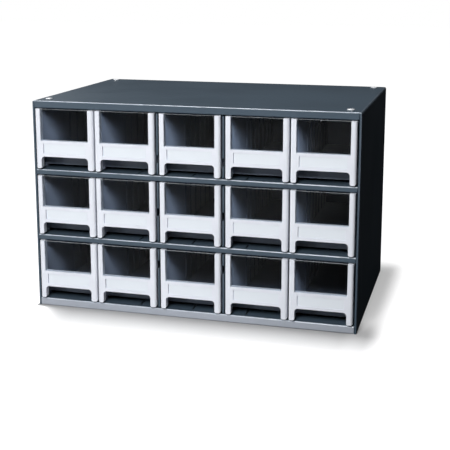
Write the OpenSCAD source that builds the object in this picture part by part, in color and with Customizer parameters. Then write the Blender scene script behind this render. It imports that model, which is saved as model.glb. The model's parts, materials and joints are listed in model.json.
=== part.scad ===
// Small parts cabinet: a folded steel case, three rows of five moulded drawers.
// Millimetres. +Z up, front towards -Y, origin at the middle of the footprint.

/* [Case] */
// Width over the two side sheets
case_w = 431.8; // [400:0.1:480]
// Height to the top sheet, without the stacking studs
case_h = 279.4; // [250:0.1:320]
// Depth of the steel case, without the drawer fronts
case_d = 275.9; // [240:0.1:320]
// Thickness of the case sheet
sheet_t = 0.8; // [0.6:0.05:1]
// Outside radius of the bend from the top into the two sides
corner_r = 3; // [2:0.1:4]
// Outside radius of the bends along front rails and lips
bend_r = 1.6; // [1.2:0.1:2]
// Outside radius of the bends along the rear edges
rear_bend_r = 2; // [1.2:0.1:2.5]
// Width of the round hem down each front side edge
side_hem_w = 3; // [2.6:0.1:3.6]
// Depth of the hem legs behind the front
hem_leg = 10; // [8:0.5:11]
// Height of the front rail under the top sheet
top_rail_h = 9.6; // [8:0.1:12]
// Height of the base pan and its front rail
base_h = 10; // [8:0.1:12]
// Width of the rear flanges that hold the back panel
rear_flange = 12; // [9:0.5:15]
// Gap of the butt joints beside rails and lips
joint_gap = 0.3; // [0.2:0.05:0.5]
// Clearance behind the hem legs for shelves and base pan
hem_clear = 2; // [1:0.1:3]
// Height of the back panel's lower edge
panel_lift = 0.5; // [0.3:0.1:2]

/* [Shelves and dividers] */
// Height of a shelf's front lip
lip_h = 7.2; // [6:0.1:9]
// Depth of the leg folded back under a lip or rail
lip_return = 6; // [4:0.5:8]
// Height of the upturned drawer stop along a shelf's rear edge
rear_stop_h = 10; // [6:0.5:14]
// Gap at each end of the bottom row's rear stops
rear_stop_gap = 1.6; // [1:0.1:4]
// Height of the welding flange down each end of a shelf
weld_flange = 8; // [5:0.5:10]
// Thickness of a divider's hemmed front edge
divider_hem_t = 2.4; // [2:0.1:2.8]
// Height of the notches in a divider's front edge
notch_h = 11; // [10:0.1:13]
// Depth of those notches
notch_d = 12; // [10:0.5:15]
// Clearance on each side of a sheet in a slit
slit_clear = 0.15; // [0.1:0.05:0.25]
// Width of the spare divider slots in shelves and pan
spare_slot_w = 2; // [1.4:0.1:3]
// Length of those slots
spare_slot_l = 20; // [12:1:30]
// Distance of those slots behind the front
spare_slot_y = 6.5; // [5:0.5:10]
// Length of the divider tabs in the base pan
tab_l = 15; // [10:1:20]
// Distance between a divider's two tabs
tab_spacing = 140; // [100:5:180]

/* [Stacking and hanging] */
// Radius of the stacking studs on top
stud_r = 4.75; // [4:0.05:5.5]
// Height of the stacking studs
stud_h = 1.5; // [1.2:0.1:2.5]
// Radius of the stacking studs' rounded upper edge
stud_edge_r = 1; // [0.4:0.1:1.1]
// Radius of the stacking holes underneath
stack_hole_r = 5.4; // [5:0.05:6.5]
// Distance of studs and holes from the case sides
stack_inset_x = 16; // [13:0.5:24]
// Distance of studs and holes from the case front and back
stack_inset_y = 18; // [14:0.5:22]
// Width of the foot flanges that hold the stacking holes
foot_flange = 30; // [29:0.5:40]
// Radius of the round part of the wall keyholes
keyhole_r = 5; // [4:0.1:6]
// Width of the narrow part of the wall keyholes
keyhole_slot_w = 5; // [4:0.1:5.5]
// Length of the narrow part above the round part's centre
keyhole_slot_l = 10; // [8:0.5:14]
// Distance between the two keyholes
keyhole_spacing = 300; // [200:5:340]
// Height of the keyholes
keyhole_z = 225; // [205:1:245]

/* [Drawer front] */
// How far the drawer fronts stand out of the case
front_proud = 3.5; // [2:0.1:5]
// Gap on each side of a drawer front
front_gap = 1.875; // [1.5:0.025:2.5]
// Height of the legs' lower ends above the shelf
leg_lift = 2; // [1:0.1:3]
// Gap between a drawer front and the lip above
top_gap = 1; // [0.6:0.1:2]
// Width of the two posts beside the window
post_w = 7.2; // [6:0.1:9]
// Depth of the posts
post_d = 8; // [7:0.1:10]
// Radius of a post's outer front edge
post_outer_r = 3.5; // [2:0.1:5]
// Radius of a post's inner front edge
post_inner_r = 0.7; // [0.4:0.1:0.8]
// Width of the legs below the label bar
leg_w = 7.7; // [7.2:0.1:9]
// Radius of the lower ends of the legs
leg_end_r = 2; // [1:0.1:3]
// Height of the finger gap under the label bar
finger_gap_h = 16.1; // [12:0.1:18]
// Radius of the finger gap's upper corners
finger_gap_r = 4.5; // [2:0.1:7]
// Height of the label bar
bar_h = 21; // [18:0.1:24]
// Thickness of the label bar
bar_t = 4; // [3.4:0.1:5]
// Thickness of the ledge behind the top of the bar
ledge_t = 2.5; // [2:0.1:3]
// Width of the label recess
label_w = 59.5; // [50:0.1:62]
// Height of the label recess
label_h = 13.1; // [10:0.1:15]
// Depth of the label recess
label_d = 0.8; // [0.5:0.1:1.2]
// Width of the slit at the left end of the label recess
label_slit_w = 1; // [0.8:0.1:1.6]
// Depth of that slit behind the recess
label_slit_d = 1.8; // [1:0.1:2]
// Thickness of the clear window
window_t = 1.5; // [1.2:0.1:2]
// Distance of the window behind the front of the posts
window_set = 0.8; // [0.5:0.1:1]
// Depth of the window groove in posts and bar
window_groove = 1.2; // [0.8:0.1:2]

/* [Drawer tub] */
// Room between a closed drawer and the back of the case
rear_room = 11.4; // [11:0.1:20]
// Length of a pulled-out drawer that stays in the case
drawer_tail = 53; // [40:0.5:80]
// Wall thickness of the tub
tub_wall = 1.5; // [1.2:0.1:2]
// Distance of the tub's sides inside the front's sides
tub_inset = 1.1; // [1:0.1:2]
// Height of the tub's rim above the shelf
rim_z = 76; // [70:0.1:78]
// Height of the outward bead along the rim
rim_h = 2; // [1.5:0.1:3]
// How far the bead stands out
rim_out = 0.7; // [0.4:0.1:0.8]
// Height of the tub's floor above the shelf
floor_z = 3.8; // [2.5:0.1:5]
// Clearance between the runners and the shelf
runner_clear = 0.3; // [0.2:0.05:0.5]
// Width of a runner
runner_w = 2; // [1.5:0.1:5]
// Distance of the lower front wall behind the drawer front
scoop_y = 24.5; // [20:0.5:28]
// Height where the front wall starts to lean forward
scoop_z = 18; // [14:0.5:22]
// Radius of the tub's rear corners
tub_corner_r = 2; // [2:0.1:6]
// Height of the stop lugs above the shelf
lug_z = 85; // [83.5:0.1:86]
// Length of a stop lug
lug_l = 6; // [4:0.5:10]
// Clearance between a lug and the lip with the drawer out
lug_clear = 0.5; // [0.3:0.1:1]
// Clearance behind a closed drawer
back_clear = 0.3; // [0.2:0.05:0.5]

/* [Hidden] */
$fn = 48;
eps = 0.01;
over = 1;

row_count = 3;
// Columns in each bay between side, dividers and side
bay_columns = [2, 1, 2];
column_count = 5;
divider_count = len(bay_columns) - 1;
// Share of the case height at which the spare notches lie
spare_notches = [1 / 4, 1 / 2, 3 / 4];
// Share of the case width at which the spare slots lie
spare_slots = [1 / 3, 1 / 2, 2 / 3];

steel_color = [0.36, 0.42, 0.48];
frame_color = [0.92, 0.93, 0.97];
tub_color = [0.33, 0.37, 0.45];
pane_color = [0.75, 0.82, 0.88, 0.35];

back_y = (case_d + front_proud) / 2;
face_y = back_y - case_d;
front_y = face_y - front_proud;
panel_y = back_y - 2 * sheet_t;
inner_w = case_w - 2 * sheet_t;
lip_w = case_w - 2 * (side_hem_w + joint_gap);
leg_end_y = face_y + hem_leg + hem_clear;

opening_h = (case_h - base_h - top_rail_h - (row_count - 1) * lip_h) / row_count;
row_pitch = opening_h + lip_h;
front_w = (case_w - 2 * side_hem_w - divider_count * divider_hem_t
           - (column_count + 1 + divider_count) * front_gap) / column_count;
front_h = opening_h - leg_lift - top_gap;
window_w = front_w - 2 * post_w;
arch_w = front_w - 2 * leg_w;
bar_z = leg_lift + finger_gap_h;
bar_top = bar_z + bar_h;
front_top = leg_lift + front_h;
label_z = bar_z + (bar_h - label_h) / 2;
tub_w = front_w - 2 * tub_inset;
drawer_d = case_d + front_proud - rear_room;
drawer_travel = drawer_d - drawer_tail;
lug_y = drawer_travel + front_proud + lip_return + lug_clear;
stop_y = front_y + drawer_d + back_clear;
stack_x = case_w / 2 - stack_inset_x;
stack_y = [face_y + stack_inset_y, back_y - stack_inset_y];

// Lean of the tub's front wall, from the scoop's fold up to the bar's ledge
lean_run = scoop_y - post_d;
lean_rise = bar_top - ledge_t - scoop_z;
lean_slope = lean_rise / lean_run;
lean_wall = tub_wall * sqrt(1 + lean_slope * lean_slope);

function shelf_top(row) = base_h + (row_count - row) * row_pitch;
function bays_before(column) = (column > bay_columns[0] ? 1 : 0)
                             + (column > bay_columns[0] + bay_columns[1] ? 1 : 0);
function column_x(column) = -case_w / 2 + side_hem_w + front_gap + front_w / 2
                          + (column - 1) * (front_w + front_gap)
                          + bays_before(column) * (divider_hem_t + front_gap);
function divider_x(i) = column_x(i + 2) + front_w / 2 + front_gap + divider_hem_t / 2;
function drawer_name(part, row, column) = str(part, "_r", row, "c", column);

case_nodes = ["case_shell", "stacking_studs", "base_pan", "rear_stops", "back_panel",
              "shelf_upper", "shelf_lower", "divider_left", "divider_right"];

// ---- outlines ----

// Rectangle from the origin with one radius at its two x=0 corners and one at the far corners
module round_box(w, h, near_low, near_high, far_low, far_high) {
    corners = [[0, 0, near_low, 1, 1], [0, h, near_high, 1, -1],
               [w, 0, far_low, -1, 1], [w, h, far_high, -1, -1]];
    difference() {
        square([w, h]);
        for (c = corners)
            if (c[2] > 0)
                translate([c[0], c[1]])
                    corner_waste(c[3], c[4], c[2]);
    }
}

// What a rounded corner takes off a square one
module corner_waste(sx, sy, r) {
    difference() {
        translate([sx > 0 ? -over : -r, sy > 0 ? -over : -r])
            square(r + over);
        translate([sx * r, sy * r])
            circle(r);
    }
}

// Extrudes an outline drawn in Y and Z along X, centred
module along_x(length) {
    translate([-length / 2, 0, 0])
        rotate([90, 0, 90])
            linear_extrude(height = length)
                children();
}

// Extrudes an outline drawn in X and Z along Y, from y
module along_y(y, length) {
    translate([0, y + length, 0])
        rotate([90, 0, 0])
            linear_extrude(height = length)
                children();
}

// ---- case ----

// The case's outside, or with inset its inside, as the crossing of its three views
module case_envelope(inset) {
    w = case_w - 2 * inset;
    d = case_d - 2 * inset;
    low = inset > 0 ? -over : 0;
    h = case_h - inset - low;
    top_r = corner_r - inset;
    front_r = bend_r - inset;
    rear_r = rear_bend_r - inset;
    hem_r = side_hem_w / 2 - inset;
    intersection() {
        along_y(face_y + inset, d)
            translate([-w / 2, low])
                round_box(w, h, 0, top_r, 0, top_r);
        along_x(w)
            translate([face_y + inset, low])
                round_box(d, h, 0, front_r, 0, rear_r);
        translate([-w / 2, face_y + inset, low])
            linear_extrude(height = h)
                round_box(w, d, hem_r, rear_r, hem_r, rear_r);
    }
}

// Plan of a sheet folded round into a hem: width over the fold, leg depth, sheet
module hem_plan(w, leg, t) {
    difference() {
        union() {
            translate([w / 2, w / 2])
                circle(w / 2);
            translate([0, w / 2])
                square([w, leg - w / 2]);
        }
        translate([w / 2, w / 2])
            circle(w / 2 - t);
        translate([t, w / 2])
            square([w - 2 * t, leg]);
    }
}

module side_hem() {
    intersection() {
        translate([-case_w / 2, face_y, 0])
            linear_extrude(height = case_h)
                hem_plan(side_hem_w, hem_leg, sheet_t);
        case_envelope(0);
    }
}

module rail_return() {
    translate([0, face_y, case_h - top_rail_h])
        along_x(lip_w)
            difference() {
                round_box(lip_return, 2 * bend_r, bend_r, 0, 0, 0);
                translate([sheet_t, sheet_t])
                    round_box(lip_return, 2 * bend_r, bend_r - sheet_t, 0, 0, 0);
            }
}

// Where studs and holes lie in plan, so that a like case stacks on top
module stud_places() {
    for (x = [-stack_x, stack_x], y = stack_y)
        translate([x, y, 0])
            children();
}

// Top and both sides, folded from one sheet, with hems, top rail and rear flanges
module case_shell() {
    opening_top = case_h - top_rail_h;
    opening_w = case_w - side_hem_w;
    joint_w = (opening_w - lip_w) / 2;
    rear_w = case_w - 2 * rear_flange;
    color(steel_color)
    union() {
        difference() {
            case_envelope(0);
            case_envelope(sheet_t);
            translate([-opening_w / 2, face_y - over, -over])
                cube([opening_w, sheet_t + 2 * over, opening_top + bend_r + over]);
            for (side = [-1, 1])
                translate([(side * (opening_w + lip_w) / 2 - joint_w) / 2, face_y - over, opening_top])
                    cube([joint_w, sheet_t + 2 * over, top_rail_h - bend_r]);
            translate([-rear_w / 2, back_y - sheet_t - over, -over])
                cube([rear_w, sheet_t + 2 * over, case_h - rear_flange + over]);
        }
        side_hem();
        mirror([1, 0, 0])
            side_hem();
        rail_return();
    }
}

// Four round buttons on top that a like case's stacking holes drop over
module stacking_studs() {
    color(steel_color)
    translate([0, 0, case_h])
        stud_places()
            rotate_extrude()
                round_box(stud_r, stud_h, 0, 0, 0, stud_edge_r);
}

// Where a front hem and its legs stand, so that flat sheets are cut back round it
module hem_notches(z, h) {
    for (side = [-1, 1])
        translate([side * (lip_w / 2 + case_w / 4) - case_w / 4, face_y - over, z])
            cube([case_w / 2, leg_end_y - face_y + over, h]);
}

module spare_slot_cuts(z) {
    for (share = spare_slots)
        translate([(share - 1 / 2) * case_w - spare_slot_w / 2, face_y + spare_slot_y, z])
            cube([spare_slot_w, spare_slot_l, sheet_t + 2 * over]);
}

// Tray that closes the bottom, with foot flanges and stacking holes
module base_pan() {
    d = panel_y - face_y;
    slit = sheet_t + 2 * slit_clear;
    color(steel_color)
    difference() {
        union() {
            along_x(inner_w)
                translate([face_y, 0])
                    difference() {
                        round_box(d, base_h, bend_r, bend_r, bend_r, bend_r);
                        translate([sheet_t, sheet_t])
                            round_box(d - 2 * sheet_t, base_h - 2 * sheet_t, bend_r - sheet_t,
                                      bend_r - sheet_t, bend_r - sheet_t, bend_r - sheet_t);
                        translate([foot_flange, -over])
                            square([d - 2 * foot_flange, over + base_h / 2]);
                    }
            for (side = [-1, 1])
                translate([side * (inner_w - sheet_t) / 2 - sheet_t / 2, leg_end_y, 0])
                    cube([sheet_t, panel_y - bend_r - leg_end_y, base_h]);
        }
        hem_notches(-over, base_h + 2 * over);
        stud_places()
            translate([0, 0, -over])
                cylinder(r = stack_hole_r, h = sheet_t + 2 * over);
        spare_slot_cuts(base_h - sheet_t - over);
        for (i = [0 : divider_count - 1], y = [-tab_spacing / 2, tab_spacing / 2])
            translate([divider_x(i) - divider_hem_t / 2 - slit_clear, y - tab_l / 2 - slit_clear,
                       base_h - sheet_t - over])
                cube([slit, tab_l + 2 * slit_clear, sheet_t + 2 * over]);
    }
}

// Three small angles on the pan that stop the bottom drawers, one in each bay
module rear_stops() {
    edges = concat([-inner_w / 2],
                   [for (i = [0 : divider_count - 1], side = [-1, 1]) divider_x(i) + side * divider_hem_t],
                   [inner_w / 2]);
    foot = panel_y - stop_y - bend_r;
    color(steel_color)
    for (bay = [0 : divider_count])
        translate([(edges[2 * bay] + edges[2 * bay + 1]) / 2, stop_y, base_h])
            along_x(edges[2 * bay + 1] - edges[2 * bay] - 2 * rear_stop_gap)
                difference() {
                    round_box(foot, rear_stop_h, bend_r, 0, 0, 0);
                    translate([sheet_t, sheet_t])
                        round_box(foot, rear_stop_h, bend_r - sheet_t, 0, 0, 0);
                }
}

module keyhole() {
    cylinder(r = keyhole_r, h = sheet_t + 2 * over);
    translate([-keyhole_slot_w / 2, 0, 0])
        cube([keyhole_slot_w, keyhole_slot_l, sheet_t + 2 * over]);
    translate([0, keyhole_slot_l, 0])
        cylinder(r = keyhole_slot_w / 2, h = sheet_t + 2 * over);
}

// Flat rear sheet inside the case's rear flanges
module back_panel() {
    w = case_w - 2 * rear_bend_r;
    color(steel_color)
    difference() {
        translate([-w / 2, panel_y, panel_lift])
            cube([w, sheet_t, case_h - rear_bend_r - panel_lift]);
        for (x = [-keyhole_spacing / 2, keyhole_spacing / 2])
            translate([x, panel_y + sheet_t + over, keyhole_z])
                rotate([90, 0, 0])
                    keyhole();
    }
}

// Shelf under the given row: lip, deck, end flanges and an upturned rear stop
module shelf(row) {
    z = shelf_top(row);
    d = stop_y + sheet_t - face_y;
    slit = sheet_t + 2 * slit_clear;
    color(steel_color)
    difference() {
        union() {
            along_x(inner_w)
                translate([face_y, z])
                    union() {
                        difference() {
                            translate([0, -lip_h])
                                round_box(d - bend_r, lip_h, bend_r, bend_r, 0, 0);
                            translate([sheet_t, sheet_t - lip_h])
                                round_box(d, lip_h - 2 * sheet_t, bend_r - sheet_t, bend_r - sheet_t, 0, 0);
                            translate([lip_return, -lip_h - over])
                                square([d, over + lip_h / 2]);
                        }
                        difference() {
                            translate([d - 2 * bend_r, -sheet_t])
                                round_box(2 * bend_r, rear_stop_h + sheet_t, 0, 0, bend_r, 0);
                            translate([d - 2 * bend_r - over, 0])
                                round_box(2 * bend_r + over - sheet_t, rear_stop_h + over, 0, 0,
                                          bend_r - sheet_t, 0);
                        }
                    }
            for (side = [-1, 1])
                translate([side * (inner_w - sheet_t) / 2 - sheet_t / 2, leg_end_y, z - weld_flange])
                    cube([sheet_t, stop_y - bend_r - leg_end_y, weld_flange]);
        }
        hem_notches(z - lip_h - over, lip_h + 2 * over);
        spare_slot_cuts(z - sheet_t - over);
        for (i = [0 : divider_count - 1])
            translate([divider_x(i) - divider_hem_t / 2 - slit_clear, 0, z - sheet_t - over])
                cube([slit, back_y, rear_stop_h + sheet_t + 2 * over]);
    }
}

module shelf_upper() {
    shelf(1);
}

module shelf_lower() {
    shelf(2);
}

// Upright sheet between two bays, notched so that the shelves' lips pass in front of it
module divider(i) {
    lip_mid = [for (row = [1 : row_count - 1]) shelf_top(row) - lip_h / 2];
    notch_mid = concat(lip_mid, [for (share = spare_notches) share * case_h]);
    slit = sheet_t + 2 * slit_clear;
    front_low = base_h + (notch_h - lip_h) / 2;
    front_high = case_h - top_rail_h - (notch_h - lip_h) / 2;
    color(steel_color)
    translate([divider_x(i) - divider_hem_t / 2, 0, 0])
        difference() {
            union() {
                translate([0, face_y + divider_hem_t / 2, base_h])
                    cube([sheet_t, panel_y - face_y - divider_hem_t / 2, case_h - sheet_t - base_h]);
                translate([0, face_y, base_h])
                    linear_extrude(height = case_h - sheet_t - base_h)
                        hem_plan(divider_hem_t, hem_leg, sheet_t);
                for (y = [-tab_spacing / 2, tab_spacing / 2])
                    translate([0, y - tab_l / 2, base_h - sheet_t])
                        cube([sheet_t, tab_l, 2 * sheet_t]);
            }
            for (z = notch_mid) {
                translate([-over, face_y - over, z - notch_h / 2])
                    cube([divider_hem_t + 2 * over, notch_d + over, notch_h]);
                translate([-over, face_y, z + lip_h / 2 - sheet_t - slit_clear])
                    cube([divider_hem_t + 2 * over, -face_y, slit]);
            }
            translate([-over, face_y - over, base_h - over])
                cube([divider_hem_t + 2 * over, notch_d + over, front_low - base_h + over]);
            translate([-over, face_y - over, front_high])
                cube([divider_hem_t + 2 * over, notch_d + over, case_h]);
        }
}

module divider_left() {
    divider(0);
}

module divider_right() {
    divider(1);
}

// ---- drawers ----

module in_drawer_place(row, column) {
    translate([column_x(column), front_y, shelf_top(row)])
        children();
}

// Front view of the frame: two posts on rounded legs, a label bar and the finger gap
module front_outline() {
    for (side = [0, 1])
        mirror([side, 0]) {
            translate([-front_w / 2, leg_lift])
                round_box(leg_w, finger_gap_h + leg_end_r, leg_end_r, 0, leg_end_r, 0);
            translate([-front_w / 2, bar_z])
                square([post_w, front_top - bar_z]);
            translate([-arch_w / 2, bar_z - finger_gap_r])
                difference() {
                    square(finger_gap_r + eps);
                    translate([finger_gap_r, 0])
                        circle(finger_gap_r);
                }
        }
    translate([-front_w / 2, bar_z])
        square([front_w, bar_h]);
}

// Plan of the frame: deep rounded posts, a thin bar between them
module front_plan(bar_depth) {
    for (side = [0, 1])
        mirror([side, 0])
            translate([-front_w / 2, 0])
                round_box(leg_w, post_d, post_outer_r, 0, post_inner_r, 0);
    translate([-arch_w / 2 - post_inner_r, 0])
        square([arch_w + 2 * post_inner_r, bar_depth]);
}

// Where the window pane stands, in posts and bar
module window_place() {
    translate([-window_w / 2 - window_groove, window_set, bar_top - window_groove])
        cube([window_w + 2 * window_groove, window_t, front_top - bar_top + window_groove]);
}

// Moulded frame of a drawer front
module drawer_front(row, column) {
    color(frame_color)
    in_drawer_place(row, column)
        difference() {
            union() {
                intersection() {
                    along_y(0, post_d)
                        front_outline();
                    linear_extrude(height = case_h)
                        front_plan(bar_t);
                }
                translate([-window_w / 2, bar_t - eps, bar_top - ledge_t])
                    cube([window_w, post_d - bar_t + eps, ledge_t]);
            }
            window_place();
            translate([-label_w / 2, -over, label_z])
                cube([label_w, label_d + over, label_h]);
            translate([-label_w / 2, label_d - over, label_z])
                cube([label_slit_w, label_slit_d + over, label_h]);
        }
}

module drawer_window(row, column) {
    color(pane_color)
    in_drawer_place(row, column)
        window_place();
}

// Side view of the tub, or with inset its inside, open at the top and behind the window
module tub_side_outline(inset) {
    low = floor_z + inset;
    wall = scoop_y + inset;
    high = inset > 0 ? rim_z + over : rim_z;
    nose = inset > 0 ? post_d - over : post_d;
    lean_lift = inset > 0 ? lean_wall : 0;
    fold_z = scoop_z + lean_lift - (wall - scoop_y) * lean_slope;
    nose_z = scoop_z + lean_lift + (scoop_y - nose) * lean_slope;
    polygon([[wall, low], [drawer_d - inset, low], [drawer_d - inset, high],
             [nose, high], [nose, nose_z], [wall, fold_z]]);
}

module tub_plan(inset) {
    nose = inset > 0 ? post_d - over : post_d;
    w = tub_w - 2 * inset;
    r = tub_corner_r - inset;
    translate([-w / 2, nose])
        round_box(w, drawer_d - inset - nose, 0, r, 0, r);
}

module tub_solid(inset) {
    intersection() {
        along_x(tub_w - 2 * inset)
            tub_side_outline(inset);
        linear_extrude(height = case_h)
            tub_plan(inset);
    }
}

// Moulded tub: scooped front wall, rim bead, two runners and two stop lugs
module drawer_tub(row, column) {
    color(tub_color)
    in_drawer_place(row, column)
        difference() {
            union() {
                tub_solid(0);
                translate([-tub_w / 2 - rim_out, post_d, rim_z - rim_h])
                    linear_extrude(height = rim_h)
                        round_box(tub_w + 2 * rim_out, drawer_d - post_d, 0, tub_corner_r,
                                  0, tub_corner_r);
                for (side = [-1, 1]) {
                    translate([side * (tub_w - runner_w) / 2 - runner_w / 2, scoop_y, runner_clear])
                        cube([runner_w, drawer_d - tub_corner_r - scoop_y, floor_z - runner_clear + eps]);
                    translate([side * (tub_w - tub_wall) / 2 - tub_wall / 2, lug_y, rim_z - eps])
                        cube([tub_wall, lug_l, lug_z - rim_z + eps]);
                }
            }
            tub_solid(tub_wall);
        }
}

case_shell();
stacking_studs();
base_pan();
rear_stops();
back_panel();
shelf_upper();
shelf_lower();
divider_left();
divider_right();
for (row = [1 : row_count], column = [1 : column_count]) {
    drawer_tub(row, column);
    drawer_front(row, column);
    drawer_window(row, column);
}
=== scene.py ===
import json
import math
import bmesh
import bpy
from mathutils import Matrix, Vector

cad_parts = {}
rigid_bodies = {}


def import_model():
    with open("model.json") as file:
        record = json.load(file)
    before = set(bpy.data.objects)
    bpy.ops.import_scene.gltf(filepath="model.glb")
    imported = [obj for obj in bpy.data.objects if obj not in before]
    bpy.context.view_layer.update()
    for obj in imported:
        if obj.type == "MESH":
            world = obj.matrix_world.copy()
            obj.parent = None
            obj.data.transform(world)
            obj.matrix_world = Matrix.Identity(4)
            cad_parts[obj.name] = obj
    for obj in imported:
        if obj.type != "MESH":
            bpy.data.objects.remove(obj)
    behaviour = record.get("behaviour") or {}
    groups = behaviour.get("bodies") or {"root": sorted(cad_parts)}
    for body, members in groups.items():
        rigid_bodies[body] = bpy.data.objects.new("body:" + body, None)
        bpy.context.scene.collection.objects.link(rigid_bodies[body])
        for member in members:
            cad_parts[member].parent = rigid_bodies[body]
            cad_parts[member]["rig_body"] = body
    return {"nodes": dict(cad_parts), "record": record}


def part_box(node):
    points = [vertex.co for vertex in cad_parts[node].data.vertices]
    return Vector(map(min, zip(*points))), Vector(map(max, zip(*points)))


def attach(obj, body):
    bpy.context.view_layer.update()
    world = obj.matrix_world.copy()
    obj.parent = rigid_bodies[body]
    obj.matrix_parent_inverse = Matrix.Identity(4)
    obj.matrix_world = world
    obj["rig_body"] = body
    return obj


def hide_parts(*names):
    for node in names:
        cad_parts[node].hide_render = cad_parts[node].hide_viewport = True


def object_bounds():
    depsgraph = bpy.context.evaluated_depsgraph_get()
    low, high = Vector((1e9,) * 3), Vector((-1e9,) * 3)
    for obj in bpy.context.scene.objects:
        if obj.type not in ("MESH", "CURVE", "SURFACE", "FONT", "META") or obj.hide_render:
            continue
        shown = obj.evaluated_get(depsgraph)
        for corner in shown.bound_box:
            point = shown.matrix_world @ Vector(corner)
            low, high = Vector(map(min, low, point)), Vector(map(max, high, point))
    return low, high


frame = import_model()
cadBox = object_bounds()
mm = 0.001
cabinetScene = bpy.context.scene


# the camera stands to the right of the drawers and looks a little down on them
cameraSettings = {
    "place": (0.3571, -1.2751, 0.4416),
    "yaw": 15.27,
    "pitch": 10.8,
    "lens": 76.87,
    "shiftY": -0.15,
    "nearest": 0.01,
}


def placeCamera(settings):
    lens = bpy.data.cameras.new("camera")
    lens.lens = settings["lens"]
    lens.shift_y = settings["shiftY"]
    lens.clip_start = settings["nearest"]
    camera = bpy.data.objects.new("camera", lens)
    camera.location = settings["place"]
    camera.rotation_euler = (math.radians(90 - settings["pitch"]), 0, math.radians(settings["yaw"]))
    cabinetScene.collection.objects.link(camera)
    cabinetScene.camera = camera


placeCamera(cameraSettings)
print("camera placed")


class Wire:  # a shader socket that takes part in sums
    def __init__(self, shop, socket):
        self.shop = shop
        self.socket = socket

    def sum(self, operation, *values):
        return self.shop.node("ShaderNodeMath", {"operation": operation}, dict(enumerate(values)))

    def __add__(self, other):
        return self.sum("ADD", self, other)

    def __sub__(self, other):
        return self.sum("SUBTRACT", self, other)

    def __rsub__(self, other):
        return self.sum("SUBTRACT", other, self)

    def __mul__(self, other):
        return self.sum("MULTIPLY", self, other)

    def __gt__(self, other):
        return self.sum("GREATER_THAN", self, other)

    __radd__ = __add__
    __rmul__ = __mul__


class Shop:  # makes the nodes of one material or of the world
    def __init__(self, tree):
        self.tree = tree
        self.tree.nodes.clear()

    def node(self, kind, settings=None, inputs=None, output=0):
        made = self.tree.nodes.new(kind)
        for name, value in (settings or {}).items():
            setattr(made, name, value)
        for name, value in (inputs or {}).items():
            self.feed(self.findSocket(made.inputs, name), value)
        if made.outputs:
            return Wire(self, self.findSocket(made.outputs, output))

    def findSocket(self, sockets, name):
        for socket in sockets:
            if socket.identifier == name:
                return socket
        return sockets[name]

    def feed(self, socket, value):
        if isinstance(value, Wire):
            self.tree.links.new(value.socket, socket)
        else:
            socket.default_value = value

    def place(self):  # Object coordinates in metres
        return self.node("ShaderNodeTexCoord", output="Object")

    def turn(self):  # the piece's own mark of where its surface turns a corner
        return self.node("ShaderNodeAttribute", {"attribute_name": "turn"}, output="Fac")

    def part(self, place, axis):
        return self.node("ShaderNodeSeparateXYZ", inputs={0: place}, output=axis)

    def stretch(self, place, scale):
        return self.node("ShaderNodeMapping", inputs={"Vector": place, "Scale": scale})

    def noise(self, place, size, detail=2, roughness=0.5):
        inputs = {"Vector": place, "Scale": 1 / size, "Detail": detail, "Roughness": roughness}
        return self.node("ShaderNodeTexNoise", inputs=inputs)

    def mixNumber(self, share, first, second):
        inputs = {"Factor_Float": share, "A_Float": first, "B_Float": second}
        return self.node("ShaderNodeMix", inputs=inputs, output="Result_Float")

    def mixColour(self, share, first, second):
        inputs = {"Factor_Float": share, "A_Color": first, "B_Color": second}
        return self.node("ShaderNodeMix", {"data_type": "RGBA"}, inputs, "Result_Color")

    def fit(self, value, low, high, newLow=0.0, newHigh=1.0, course="SMOOTHSTEP"):
        inputs = {0: value, 1: low, 2: high, 3: newLow, 4: newHigh}
        return self.node("ShaderNodeMapRange", {"interpolation_type": course}, inputs)

    def bump(self, height, depth):
        return self.node("ShaderNodeBump", inputs={"Height": height, "Distance": depth, "Strength": 1.0})

    def finish(self, shader):
        self.node("ShaderNodeOutputMaterial", inputs={"Surface": shader})


def rgb(colour, gain=1.0):
    return tuple(min(1.0, channel * gain) for channel in colour) + (1.0,)


black = rgb((0, 0, 0))
white = rgb((1, 1, 1))


def newMaterial(name):
    material = bpy.data.materials.new(name)
    material.use_nodes = True
    return material, Shop(material.node_tree)


# stoved enamel on sheet steel, with a pale colour painted along its upper bends as a highlight;
# the sizes and depths of all patterns are in metres
enamelLook = {
    "colour": (0.054, 0.081, 0.110),
    "lighter": 1.05,
    "darker": 0.95,
    "toneSpan": (0.35, 0.65),
    "cloudSize": 0.110,
    "cloudDetail": 3,
    "fleckSize": 0.0006,
    "fleckDetail": 1,
    "fleckShare": 0.5,
    "peelSize": 0.0016,
    "peelDepth": 0.00002,
    "glossSpan": (0.3, 0.7),
    "roughLow": 0.36,
    "roughHigh": 0.44,
    # the pale colour painted on the upper bends as a highlight
    "bendHighlightColour": (0.600, 0.660, 0.740),
    "bendHighlightSize": 0.014,
    "bendHighlightDetail": 3,
    "bendHighlightSpan": (0.25, 0.60),
    "bendHighlightLeast": 0.45,
    "bendHighlightShare": 0.95,
    "bendHighlightGloss": 0.12,
}
panLook = {  # the pan's upright rail is painted paler than its deck, as painted light from the floor below; the deck's height is in millimetres
    "railPaintedLightColour": (0.365, 0.395, 0.450),
    "deckHeight": 10.0,
    "bendRadius": 1.6,
}
studLook = {  # the studs' tops are rubbed bare and painted pale, as a painted glint
    "glintBareColour": (0.80, 0.82, 0.85),
    "glintBareFrom": 0.5,  # millimetres above the top sheet
    "glintBareFull": 1.1,
    "scratchSize": 0.0016,
    "scratchStretch": (1.0, 0.15, 1.0),
    "scratchDetail": 3,
    "scratchDepth": 0.4,  # how far it moves that height, in millimetres
    "metal": 0.3,
    "roughness": 0.45,
}


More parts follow.
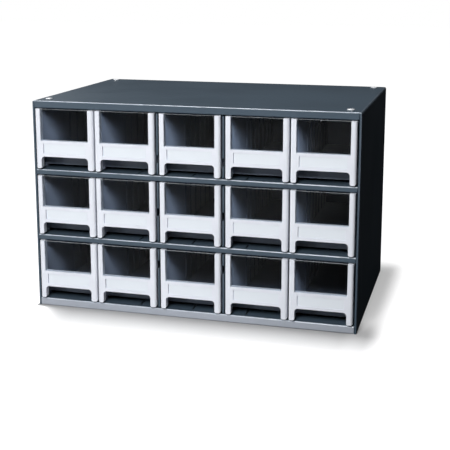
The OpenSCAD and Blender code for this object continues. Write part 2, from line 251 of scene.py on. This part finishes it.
def enamelColour(shop, look):
    place = shop.place()
    cloud = shop.noise(place, look["cloudSize"], look["cloudDetail"])
    fleck = shop.noise(place, look["fleckSize"], look["fleckDetail"])
    tone = shop.fit(cloud * (1 - look["fleckShare"]) + fleck * look["fleckShare"], *look["toneSpan"])
    return shop.mixColour(tone, rgb(look["colour"], look["darker"]), rgb(look["colour"], look["lighter"]))


# painted highlight: a pale colour along the marked bends, broken up by noise
def enamelPaintedHighlight(shop, look):
    patch = shop.noise(shop.place(), look["bendHighlightSize"], look["bendHighlightDetail"])
    patchyShare = shop.fit(patch, *look["bendHighlightSpan"], look["bendHighlightLeast"], 1.0)
    return shop.turn() * patchyShare * look["bendHighlightShare"]


def enamelRoughness(shop, look, paintedHighlight):
    cloud = shop.noise(shop.place(), look["cloudSize"], look["cloudDetail"])
    dull = shop.fit(cloud, *look["glossSpan"], look["roughLow"], look["roughHigh"])
    return dull - paintedHighlight * look["bendHighlightGloss"]


def enamelPeel(shop, look):
    return shop.bump(shop.noise(shop.place(), look["peelSize"]), look["peelDepth"])


def makeEnamel(name, look):
    material, shop = newMaterial(name)
    # the base colour carries the painted highlight on the upper bends
    paintedHighlight = enamelPaintedHighlight(shop, look)
    shop.finish(shop.node("ShaderNodeBsdfPrincipled", inputs={
        "Base Color": shop.mixColour(paintedHighlight, enamelColour(shop, look), rgb(look["bendHighlightColour"])),
        "Roughness": enamelRoughness(shop, look, paintedHighlight),
        "Normal": enamelPeel(shop, look),
    }))
    return material


def makePanEnamel(name, look, pan):
    material, shop = newMaterial(name)
    # the same painted highlight on the pan's upper bends
    paintedHighlight = enamelPaintedHighlight(shop, look)
    height = shop.part(shop.place(), "Z")
    railTop = (pan["deckHeight"] - pan["bendRadius"] / 2) * mm
    # painted light: below the deck's bend the rail takes a paler colour
    railLitShare = shop.fit(height, railTop, pan["deckHeight"] * mm, 1.0, 0.0)
    painted = shop.mixColour(railLitShare, enamelColour(shop, look), rgb(pan["railPaintedLightColour"]))
    shop.finish(shop.node("ShaderNodeBsdfPrincipled", inputs={
        "Base Color": shop.mixColour(paintedHighlight, painted, rgb(look["bendHighlightColour"])),
        "Roughness": enamelRoughness(shop, look, paintedHighlight),
        "Normal": enamelPeel(shop, look),
    }))
    return material


def makeStudFinish(name, look, stud):
    material, shop = newMaterial(name)
    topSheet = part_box("stacking_studs")[0].z
    height = shop.part(shop.place(), "Z")
    along = shop.stretch(shop.place(), stud["scratchStretch"])
    scratch = shop.noise(along, stud["scratchSize"], stud["scratchDetail"])
    # painted highlight: the pale bare top is bare steel and also stands in for a glint
    glintBare = shop.fit(height + scratch * stud["scratchDepth"] * mm,
                    topSheet + stud["glintBareFrom"] * mm, topSheet + stud["glintBareFull"] * mm)
    shop.finish(shop.node("ShaderNodeBsdfPrincipled", inputs={
        "Base Color": shop.mixColour(glintBare, enamelColour(shop, look), rgb(stud["glintBareColour"])),
        "Metallic": glintBare * stud["metal"],
        "Roughness": shop.mixNumber(glintBare, look["roughHigh"], stud["roughness"]),
        "Normal": enamelPeel(shop, look),
    }))
    return material


# injection moulded plastic: flow clouds along the pull, spark-eroded grain and scuffed corners
mouldedFlow = {  # the same in both plastics
    "stretch": (1.0, 0.35, 1.0),
    "detail": 4,
    "roughness": 0.55,
    "toneSpan": (0.35, 0.65),
    "glossSpan": (0.3, 0.7),
    "scuffSpan": (0.40, 0.60),
    "scuffLeast": 0.3,
}
mouldedLook = {
    "front": {
        "colour": (0.78, 0.81, 0.88),
        "lighter": 1.01,
        "darker": 0.97,
        "cloudSize": 0.030,
        "grainSize": 0.0008,
        "grainDepth": 0.000010,
        "roughLow": 0.34,
        "roughHigh": 0.44,
        "scuffColour": (0.86, 0.88, 0.92),
        "scuffShare": 0.5,
    },
    "tub": {
        "colour": (0.116, 0.140, 0.188),
        "lighter": 1.08,
        "darker": 0.92,
        "cloudSize": 0.045,
        "grainSize": 0.0009,
        "grainDepth": 0.00002,
        "roughLow": 0.40,
        "roughHigh": 0.54,
        "scuffColour": (0.180, 0.210, 0.265),
        "scuffShare": 0.5,
    },
}


def makeMoulded(name, look, flow):
    material, shop = newMaterial(name)
    place = shop.place()
    along = shop.stretch(place, flow["stretch"])
    cloud = shop.noise(along, look["cloudSize"], flow["detail"], flow["roughness"])
    grain = shop.noise(place, look["grainSize"])
    tone = shop.fit(cloud, *flow["toneSpan"])
    colour = shop.mixColour(tone, rgb(look["colour"], look["darker"]), rgb(look["colour"], look["lighter"]))
    patchyShare = shop.fit(cloud, *flow["scuffSpan"], flow["scuffLeast"], 1.0)
    scuff = shop.turn() * patchyShare * look["scuffShare"]
    shop.finish(shop.node("ShaderNodeBsdfPrincipled", inputs={
        "Base Color": shop.mixColour(scuff, colour, rgb(look["scuffColour"])),
        "Roughness": shop.fit(grain, *flow["glossSpan"], look["roughLow"], look["roughHigh"]),
        "Normal": shop.bump(grain, look["grainDepth"]),
    }))
    return material


# clear moulded sheet, a little wavy, with frosted edges and faint handling haze
paneLook = {
    "tint": (0.93, 0.95, 0.97),
    "sheen": (0.95, 0.97, 1.0),
    "ior": 1.20,
    "roughness": 0.08,
    "waveSize": 0.020,
    "waveDetail": 1,
    "waveDepth": 0.00004,
    "hazeSize": 0.012,
    "hazeDetail": 4,
    "hazeSpan": (0.5, 0.8),
    "hazeMost": 0.003,
    "edgeShare": 0.80,
    "edgeColour": (0.76, 0.80, 0.86),
}


def makePane(name, look):
    material, shop = newMaterial(name)
    place = shop.place()
    wave = shop.bump(shop.noise(place, look["waveSize"], look["waveDetail"]), look["waveDepth"])
    film = shop.noise(place, look["hazeSize"], look["hazeDetail"])
    haze = shop.fit(film, *look["hazeSpan"], 0.0, look["hazeMost"])
    gloss = shop.node("ShaderNodeFresnel", inputs={"IOR": look["ior"], "Normal": wave})
    through = shop.node("ShaderNodeBsdfTransparent", inputs={"Color": rgb(look["tint"])})
    sheen = shop.node("ShaderNodeBsdfAnisotropic", inputs={
        "Color": rgb(look["sheen"]),
        "Roughness": look["roughness"],
        "Normal": wave,
    })
    clear = shop.node("ShaderNodeMixShader", inputs={0: gloss + haze, 1: through, 2: sheen})
    frost = shop.node("ShaderNodeBsdfDiffuse", inputs={"Color": rgb(look["edgeColour"])})
    shop.finish(shop.node("ShaderNodeMixShader", inputs={
        0: shop.turn() * look["edgeShare"],
        1: clear,
        2: frost,
    }))
    return material


# blank paper stock with a faint fibre
cardLook = {
    "colour": (0.775, 0.825, 0.88),
    "darker": 0.97,
    "fibreSize": 0.0007,
    "fibreStretch": (0.3, 1.0, 1.0),
    "fibreDetail": 3,
    "fibreRoughness": 0.6,
    "fibreDepth": 0.00001,
    "roughness": 0.8,
}


def makeCard(name, look):
    material, shop = newMaterial(name)
    along = shop.stretch(shop.place(), look["fibreStretch"])
    fibre = shop.noise(along, look["fibreSize"], look["fibreDetail"], look["fibreRoughness"])
    shop.finish(shop.node("ShaderNodeBsdfPrincipled", inputs={
        "Base Color": shop.mixColour(fibre, rgb(look["colour"], look["darker"]), rgb(look["colour"])),
        "Roughness": look["roughness"],
        "Normal": shop.bump(fibre, look["fibreDepth"]),
    }))
    return material


slotFinishes = {
    "case_enamel": makeEnamel("case_enamel_finish", enamelLook),
    "front_plastic": makeMoulded("front_plastic_finish", mouldedLook["front"], mouldedFlow),
    "tub_plastic": makeMoulded("tub_plastic_finish", mouldedLook["tub"], mouldedFlow),
    "clear_window": makePane("clear_window_finish", paneLook),
}
nodeFinishes = {
    "base_pan": makePanEnamel("pan_enamel_finish", enamelLook, panLook),
    "stacking_studs": makeStudFinish("stud_finish", enamelLook, studLook),
}
cardPaper = makeCard("card_paper_finish", cardLook)
print("finishes made:", len(slotFinishes) + len(nodeFinishes) + 1)


# each CAD piece again, with softened edges and a mark of where its surface turns,
# in millimetres and degrees
edgeCuts = {
    "case_enamel": {"width": 0.18, "steps": 2},
    "front_plastic": {"width": 0.40, "steps": 3},
    "tub_plastic": {"width": 0.35, "steps": 2},
    "clear_window": {"width": 0.15, "steps": 2},
}
dressing = {
    "weldWithin": 0.002,
    "flatAngle": 0.6,
    "sharpAngle": 32,
    "turnFull": 0.88,  # cosine of the surface's angle to the nearest axis
    "turnNone": 0.985,
    "sideways": 3,
}


def slotOf(node):
    for row in frame["record"]["subparts"]:
        if row["node"] == node:
            return row["material_slot"]


def settle(piece):  # turns a piece's modifiers into a plain mesh
    bpy.context.view_layer.update()
    graph = bpy.context.evaluated_depsgraph_get()
    mesh = bpy.data.meshes.new_from_object(piece.evaluated_get(graph))
    piece.modifiers.clear()
    piece.data = mesh


def newPiece(name, mesh):
    piece = bpy.data.objects.new(name, mesh)
    cabinetScene.collection.objects.link(piece)
    return piece


def fitPiece(piece, body):
    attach(piece, body)
    return piece


def cleanCopy(node):
    mesh = frame["nodes"][node].data.copy()
    shape = bmesh.new()
    shape.from_mesh(mesh)
    bmesh.ops.remove_doubles(shape, verts=shape.verts, dist=dressing["weldWithin"] * mm)
    bmesh.ops.dissolve_limit(shape, angle_limit=math.radians(dressing["flatAngle"]),
                             verts=shape.verts, edges=shape.edges)
    bmesh.ops.connect_verts_concave(shape, faces=shape.faces)  # so that the bevel can't fold a face
    shape.to_mesh(mesh)
    shape.free()
    for layer in ("custom_normal", "sharp_face", "sharp_edge"):
        if layer in mesh.attributes:
            mesh.attributes.remove(mesh.attributes[layer])
    return mesh


def turnAt(normal, slot):
    if slot == "clear_window":
        return 1 - abs(normal.y)
    straightest = max(abs(part) for part in normal)
    share = (dressing["turnNone"] - straightest) / (dressing["turnNone"] - dressing["turnFull"])
    if slot == "case_enamel":  # only the upper bends that run across the case take the painted highlight
        share *= (1 - abs(normal.x)) ** dressing["sideways"] * (normal.z > 0)
    return min(1.0, max(0.0, share))


def markTurns(mesh, slot):
    layer = mesh.attributes.new("turn", "FLOAT", "CORNER")
    for corner, mark in zip(mesh.corner_normals, layer.data):
        mark.value = turnAt(corner.vector, slot)


def softenEdges(piece, cut):
    soften = piece.modifiers.new("soften", "BEVEL")
    soften.width = cut["width"] * mm
    soften.segments = cut["steps"]
    soften.limit_method = "ANGLE"
    soften.angle_limit = math.radians(dressing["sharpAngle"])
    soften.miter_outer = "MITER_ARC"
    settle(piece)


def shadeSmooth(piece):
    piece.data.polygons.foreach_set("use_smooth", [True] * len(piece.data.polygons))
    piece.data.set_sharp_from_angle(angle=math.radians(dressing["sharpAngle"]))
    weigh = piece.modifiers.new("weigh", "WEIGHTED_NORMAL")
    weigh.keep_sharp = True
    settle(piece)


def dress(node):
    slot = slotOf(node)
    mesh = cleanCopy(node)
    mesh.materials.clear()
    mesh.materials.append(nodeFinishes.get(node, slotFinishes[slot]))
    piece = newPiece(node + "_dressed", mesh)
    softenEdges(piece, edgeCuts[slot])
    shadeSmooth(piece)
    markTurns(piece.data, slot)
    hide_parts(node)
    return fitPiece(piece, frame["nodes"][node]["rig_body"])


dressedPieces = [dress(node) for node in sorted(frame["nodes"])]
print("nodes dressed:", len(dressedPieces))


class Plan:  # builds one geometry tree with named inputs
    def __init__(self, name, inputs):
        self.tree = bpy.data.node_groups.new(name, "GeometryNodeTree")
        self.keys = {}
        for label, kind in inputs.items():
            socket = self.tree.interface.new_socket(label, in_out="INPUT", socket_type=kind)
            self.keys[label] = socket.identifier
        self.tree.interface.new_socket("Shape", in_out="OUTPUT", socket_type="NodeSocketGeometry")
        self.start = self.tree.nodes.new("NodeGroupInput")

    def node(self, kind, settings=None, inputs=None, output=0):
        made = self.tree.nodes.new(kind)
        for name, value in (settings or {}).items():
            setattr(made, name, value)
        for name, value in (inputs or {}).items():
            if isinstance(value, bpy.types.NodeSocket):
                self.tree.links.new(value, made.inputs[name])
            else:
                made.inputs[name].default_value = value
        return made.outputs[output]

    def entry(self, label):
        return self.start.outputs[label]

    def join(self, shapes):
        made = self.tree.nodes.new("GeometryNodeJoinGeometry")
        for shape in shapes:
            self.tree.links.new(shape, made.inputs[0])
        return made.outputs[0]

    def move(self, shape, place, turn=(0, 0, 0)):
        return self.node("GeometryNodeTransform",
                         inputs={"Geometry": shape, "Translation": place, "Rotation": turn})

    def finish(self, shape):
        real = self.node("GeometryNodeRealizeInstances", inputs={"Geometry": shape})
        painted = self.node("GeometryNodeSetMaterial",
                            inputs={"Geometry": real, "Material": self.entry("Finish")})
        end = self.tree.nodes.new("NodeGroupOutput")
        self.tree.links.new(painted, end.inputs["Shape"])

    def grow(self, name, values):  # one plain mesh from this tree with these inputs
        piece = newPiece(name, bpy.data.meshes.new(name))
        growth = piece.modifiers.new("growth", "NODES")
        growth.node_group = self.tree
        for label, value in values.items():
            growth[self.keys[label]] = value
        settle(piece)
        piece.data.materials.clear()
        piece.data.materials.append(values["Finish"])
        piece.data.polygons.foreach_set("material_index", [0] * len(piece.data.polygons))
        return piece


def drawerNodes(part):
    return sorted(node for node in frame["nodes"] if node.startswith(part + "_"))


# blank label card in each drawer's recess, in millimetres
cardShape = {
    "recessWidth": 59.5,
    "recessHeight": 13.1,
    "recessDepth": 0.8,
    "slitWidth": 1.0,
    "legLift": 2.0,
    "barLow": 18.1,
    "barHeight": 21.0,
    "sideGap": 0.25,
    "endGap": 0.35,
    "thickness": 0.30,
    "cornerRadius": 0.8,
}


def cardPlan():
    plan = Plan("cardPlan", {
        "Centre": "NodeSocketVector",
        "Width": "NodeSocketFloat",
        "Height": "NodeSocketFloat",
        "Thickness": "NodeSocketFloat",
        "Corner": "NodeSocketFloat",
        "Finish": "NodeSocketMaterial",
    })
    edge = plan.node("GeometryNodeCurvePrimitiveQuadrilateral",
                     inputs={"Width": plan.entry("Width"), "Height": plan.entry("Height")})
    rounded = plan.node("GeometryNodeFilletCurve",
                        inputs={"Curve": edge, "Radius": plan.entry("Corner"), "Limit Radius": True})
    sheet = plan.node("GeometryNodeFillCurve", inputs={"Curve": rounded})
    thick = plan.node("GeometryNodeExtrudeMesh",
                      inputs={"Mesh": sheet, "Offset Scale": plan.entry("Thickness"), "Individual": False})
    under = plan.node("GeometryNodeFlipFaces", inputs={"Mesh": sheet})
    shell = plan.join([thick, under])
    whole = plan.node("GeometryNodeMergeByDistance",
                      inputs={"Geometry": shell, "Distance": dressing["weldWithin"] * mm})
    plan.finish(plan.move(whole, plan.entry("Centre"), (math.radians(90), 0, 0)))
    return plan


def makeCards(shape):
    plan = cardPlan()
    cards = []
    for node in drawerNodes("front"):
        low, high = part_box(node)
        shelfTop = low.z - shape["legLift"] * mm
        width = shape["recessWidth"] - shape["slitWidth"] - 2 * shape["endGap"]
        card = plan.grow(node.replace("front", "card"), {
            "Centre": (
                (low.x + high.x + shape["slitWidth"] * mm) / 2,
                low.y + shape["recessDepth"] * mm,
                shelfTop + (shape["barLow"] + shape["barHeight"] / 2) * mm,
            ),
            "Width": width * mm,
            "Height": (shape["recessHeight"] - 2 * shape["sideGap"]) * mm,
            "Thickness": shape["thickness"] * mm,
            "Corner": shape["cornerRadius"] * mm,
            "Finish": cardPaper,
        })
        cards.append(fitPiece(card, frame["nodes"][node]["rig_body"]))
    return cards


cards = makeCards(cardShape)
print("cards made:", len(cards))


# pairs of half-round ribs on the tubs' side walls, which hold cross dividers, in millimetres
ribShape = {
    "radius": 0.9,
    "sides": 10,
    "gap": 2.6,
    "proud": 0.7,
    "wall": 1.5,
    "bead": 0.7,
    "floorHeight": 5.0,
    "ribTop": 62.0,
    "behindNose": 96.0,
    "beforeBack": 20.0,
    "pairs": 7,
}


def ribPlan():
    plan = Plan("ribPlan", {
        "Centre": "NodeSocketVector",
        "Across": "NodeSocketFloat",
        "Along": "NodeSocketFloat",
        "Pairs": "NodeSocketInt",
        "Radius": "NodeSocketFloat",
        "Sides": "NodeSocketInt",
        "Height": "NodeSocketFloat",
        "Gap": "NodeSocketVector",
        "Finish": "NodeSocketMaterial",
    })
    rib = plan.node("GeometryNodeMeshCylinder", inputs={
        "Vertices": plan.entry("Sides"), "Radius": plan.entry("Radius"), "Depth": plan.entry("Height")})
    twin = plan.join([rib, plan.move(rib, plan.entry("Gap"))])
    places = plan.node("GeometryNodeMeshGrid", inputs={
        "Size X": plan.entry("Across"),
        "Size Y": plan.entry("Along"),
        "Vertices X": 2,  # one row at each side wall
        "Vertices Y": plan.entry("Pairs"),
    })
    standing = plan.node("GeometryNodeInstanceOnPoints", inputs={"Points": places, "Instance": twin})
    plan.finish(plan.move(standing, plan.entry("Centre")))
    return plan


def makeRibs(shape):
    plan = ribPlan()
    ribs = []
    for node in drawerNodes("tub"):
        low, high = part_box(node)
        first = low.y + shape["behindNose"] * mm
        last = high.y - shape["beforeBack"] * mm
        inside = high.x - low.x - 2 * (shape["bead"] + shape["wall"]) * mm
        height = (shape["ribTop"] - shape["floorHeight"]) * mm
        rib = plan.grow(node.replace("tub", "ribs"), {
            "Centre": (
                (low.x + high.x) / 2,
                (first + last - shape["gap"] * mm) / 2,
                low.z + shape["floorHeight"] * mm + height / 2,
            ),
            "Across": inside + 2 * (shape["radius"] - shape["proud"]) * mm,
            "Along": last - first,
            "Pairs": shape["pairs"],
            "Radius": shape["radius"] * mm,
            "Sides": shape["sides"],
            "Height": height,
            "Gap": (0, shape["gap"] * mm, 0),
            "Finish": slotFinishes["tub_plastic"],
        })
        ribs.append(fitPiece(rib, frame["nodes"][node]["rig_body"]))
    return ribs


ribs = makeRibs(ribShape)
print("rib sets made:", len(ribs))


# white table, in metres: what the camera sees of it glows, less near the case, so that the shadow stays
# there; in front of the case and at its front right corner, where lamps light the table, that darkening is
# painted shade; the case's right side sees it as if a black card lay there
floorSettings = {
    "size": 14.0,
    "drop": 0.0002,
    "colour": (0.40, 0.40, 0.405),
    "bounceColour": (0.45, 0.45, 0.46),
    "glowFront": 0.0,  # against the case's front, its right side and the corner between them
    "glowRight": 0.44,
    "glowCorner": 0.12,
    "glowFar": 1.0,
    "cornerWidth": 0.020,
    "cornerDepth": 0.060,
    "fadeFront": 0.088,  # how far from the case the glow is full again
    "fadeRight": (0.011, 0.042),
    "fadeLeft": 0.004,
    "fadeBehind": 0.060,
    "growFrom": 0.006,  # where the shadow in front grows, from the case's left side
    "growTo": 0.060,
    "mirrored": 0.12,
    "flagFrom": 0.0,  # where the black card starts and is full
    "flagTo": 0.25,
    "flagShade": 0.02,
}


def floorGlow(shop, settings):
    low, high = cadBox
    x = shop.part(shop.place(), "X")
    y = shop.part(shop.place(), "Y")
    # painted shade: in front of the case and at its front right corner the glow is lowered though lamps
    # light the table there
    beside = shop.fit(y, low.y, low.y + settings["cornerDepth"],
                      settings["glowCorner"], settings["glowRight"])
    near = shop.fit(x, high.x - settings["cornerWidth"], high.x, settings["glowFront"], beside)
    reach = shop.fit(x, low.x + settings["growFrom"], low.x + settings["growTo"],
                     settings["fadeLeft"], settings["fadeFront"])
    front = shop.fit(low.y - y, 0.0, reach, course="LINEAR")
    right = shop.fit(x - high.x, *settings["fadeRight"])
    left = shop.fit(low.x - x, 0.0, settings["fadeLeft"])
    behind = shop.fit(y - high.y, 0.0, settings["fadeBehind"])
    shade = (1 - front) * (1 - right) * (1 - left) * (1 - behind)
    return shop.mixNumber(shade, settings["glowFar"], near)


def lightRay(shop, name):
    return shop.node("ShaderNodeLightPath", output="Is " + name + " Ray")


def makeFloor(settings):
    half = settings["size"] / 2
    mesh = bpy.data.meshes.new("floor")
    corners = [(-half, -half, 0), (half, -half, 0), (half, half, 0), (-half, half, 0)]
    mesh.from_pydata([(x, y, z - settings["drop"]) for x, y, z in corners], [], [(0, 1, 2, 3)])
    material, shop = newMaterial("floor_finish")
    direct = lightRay(shop, "Camera") + lightRay(shop, "Transmission")
    flag = shop.fit(shop.part(shop.place(), "X"), settings["flagFrom"], settings["flagTo"],
                    1.0, settings["flagShade"])
    seen = direct + lightRay(shop, "Glossy") * flag * settings["mirrored"]
    bounce = shop.mixColour(flag, black, rgb(settings["bounceColour"]))
    matt = shop.node("ShaderNodeBsdfDiffuse", inputs={
        "Color": shop.mixColour(direct, bounce, rgb(settings["colour"]))})
    light = shop.node("ShaderNodeEmission", inputs={
        "Color": white,
        "Strength": floorGlow(shop, settings) * seen,
    })
    shop.finish(shop.node("ShaderNodeAddShader", inputs={0: matt, 1: light}))
    mesh.materials.append(material)
    floor = newPiece("floor", mesh)
    return floor


# dim soft surroundings, dimmer towards the right; what the enamel mirrors is brighter from above
worldSettings = {
    "ambient": 0.020,
    "rightFrom": -0.2,
    "rightTo": 0.6,
    "rightShare": 0.1,
    "horizon": 0.14,
    "fade": 0.16,
    "mirrorLow": 0.03,
    "mirrorHigh": 0.10,
}


def makeWorld(settings):
    world = bpy.data.worlds.new("studio")
    cabinetScene.world = world
    world.use_nodes = True
    shop = Shop(world.node_tree)
    direction = shop.node("ShaderNodeTexCoord", output="Generated")
    share = shop.fit(shop.part(direction, "X"), settings["rightFrom"], settings["rightTo"],
                     1.0, settings["rightShare"])
    mirrored = shop.fit(shop.part(direction, "Z"),
                        settings["horizon"], settings["horizon"] + settings["fade"],
                        settings["mirrorLow"], settings["mirrorHigh"])
    level = shop.mixNumber(lightRay(shop, "Glossy"), settings["ambient"], mirrored) * share
    plain = (lightRay(shop, "Camera") + lightRay(shop, "Transmission")) > 0
    background = shop.node("ShaderNodeBackground", inputs={
        "Color": white,
        "Strength": shop.mixNumber(plain, level, 1.0),
    })
    shop.node("ShaderNodeOutputWorld", inputs={"Surface": background})


# a soft box in front, a low lamp far to the left that shines under the label bars, a strip
# overhead, one behind, a weak one on the right that lights the case's sheet alone, and one
# that lights the tubs and their ribs alone
lampSettings = {
    "key": {
        "place": (-0.02, -1.70, 1.35),
        "aim": (-0.05, -0.05, 0.12),
        "size": (0.44, 0.60),
        "power": 36,
    },
    "low": {
        "place": (-1.90, -2.20, 0.35),
        "aim": (0.0, -0.12, 0.14),
        "size": (0.40, 0.40),
        "power": 9,
    },
    "overhead": {
        "place": (-0.35, -0.25, 1.50),
        "aim": (-0.05, -0.05, 0.2),
        "size": (1.10, 0.30),
        "power": 7.5,
    },
    "behind": {
        "place": (-1.20, 0.85, 1.00),
        "aim": (0.0, 0.1, 0.15),
        "size": (0.80, 0.40),
        "power": 6,
    },
    "side": {
        "place": (1.50, 0.90, 0.75),
        "aim": (0.22, 0.0, 0.14),
        "size": (0.60, 0.60),
        "power": 1.8,
    },
    "inside": {
        "place": (0.60, -0.80, 0.75),
        "aim": (0.0, -0.12, 0.14),
        "size": (0.40, 0.40),
        "power": 33,
    },
}


def makeLamp(name, settings):
    light = bpy.data.lights.new(name, "AREA")
    light.shape = "RECTANGLE"
    light.size = settings["size"][0]
    light.size_y = settings["size"][1]
    light.energy = settings["power"]
    lamp = bpy.data.objects.new(name, light)
    lamp.location = settings["place"]
    aim = Vector(settings["aim"]) - Vector(settings["place"])
    lamp.rotation_euler = aim.to_track_quat("-Z", "Y").to_euler()
    cabinetScene.collection.objects.link(lamp)
    return lamp


def dressedFrom(start):
    return [piece for piece in dressedPieces if piece.name.startswith(start)]


def lightOnly(lamp, pieces):  # no other piece takes this lamp's light
    taking = bpy.data.collections.new(lamp.name + "_pieces")
    for piece in pieces:
        taking.objects.link(piece)
    lamp.light_linking.receiver_collection = taking


makeFloor(floorSettings)
makeWorld(worldSettings)
lamps = {name: makeLamp(name, settings) for name, settings in lampSettings.items()}
lightOnly(lamps["side"], dressedFrom("case_shell"))
lightOnly(lamps["inside"], dressedFrom("tub_") + ribs)
cabinetScene.view_settings.view_transform = "Standard"
print("stage set:", len(lamps), "lamps")
